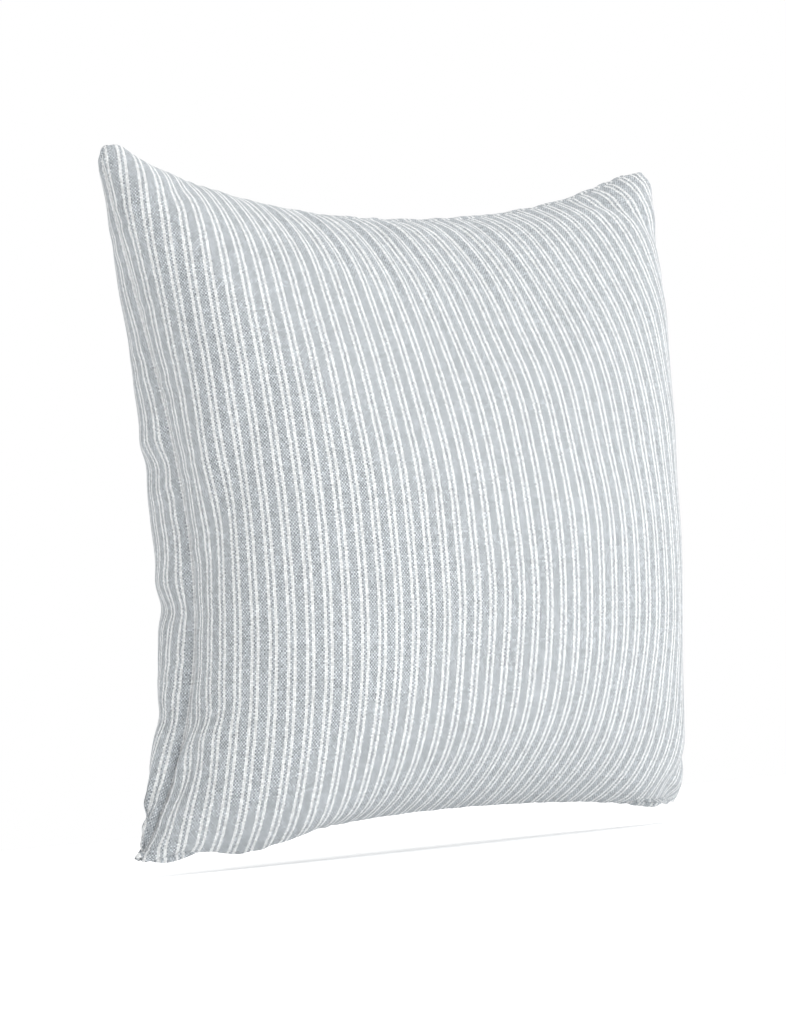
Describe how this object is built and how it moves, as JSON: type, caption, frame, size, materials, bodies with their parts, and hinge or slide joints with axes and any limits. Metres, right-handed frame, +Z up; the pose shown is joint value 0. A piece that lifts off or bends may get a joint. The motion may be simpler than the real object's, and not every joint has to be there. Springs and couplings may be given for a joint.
{
  "type": "throw pillow",
  "caption": "Square stuffed throw pillow: a striped woven cover with knife-edge seams, a concealed zip along its lower seam with a sliding, swinging pull, and a separate filled insert.",
  "frame": {"origin": "on the level of the two lower corner tips, below the middle of the width and of the thickness", "axes": "+Z up, from the zipped seam to the top seam; +X to the right as seen from the front, +Y from the front crown to the back crown"},
  "size_m": [0.49, 0.216, 0.49],
  "materials": {
    "striped_cloth": "matt plain-weave cotton and linen, blue-grey with pairs of narrow white stripes",
    "cover_thread": "matt spun polyester sewing thread",
    "label_cloth": "smooth woven satin ribbon, blank",
    "zip_tape": "matt herringbone-woven polyester tape",
    "zip_coil": "satin nylon monofilament",
    "zip_metal": "nickel-plated zinc, soft sheen",
    "insert_cloth": "matt off-white plain-weave cotton",
    "insert_thread": "matt off-white sewing thread",
    "fibre": "soft white hollow polyester fibre"
  },
  "bodies": {
    "cover": {"cover_front_panel": "striped_cloth", "cover_back_panel": "striped_cloth", "cover_seam_thread": "cover_thread", "care_label": "label_cloth", "zip_tape_front": "zip_tape", "zip_tape_back": "zip_tape", "zip_coil_front": "zip_coil", "zip_coil_back": "zip_coil", "zip_stitching_front": "cover_thread", "zip_stitching_back": "cover_thread", "zip_top_stop_front": "zip_metal", "zip_top_stop_back": "zip_metal", "zip_bottom_stop": "zip_metal", "insert_shell_front": "insert_cloth", "insert_shell_back": "insert_cloth", "insert_seam_thread": "insert_thread", "insert_fill": "fibre"},
    "zip_slider": {"zip_slider_body": "zip_metal", "zip_slider_bail": "zip_metal"},
    "zip_pull": {"zip_pull_tab": "zip_metal"}
  },
  "joints": [
    {"name": "zip_travel", "type": "hinge", "parent": "cover", "child": "zip_slider", "pos_m": [0, 0, -1.595], "axis": [0, -1, 0], "range_deg": [0, 11.74]},
    {"name": "pull_swing", "type": "hinge", "parent": "zip_slider", "child": "zip_pull", "pos_m": [0.16591, 0, 0.01849], "axis": [0, -1, 0], "range_deg": [0, 150]}
  ]
}
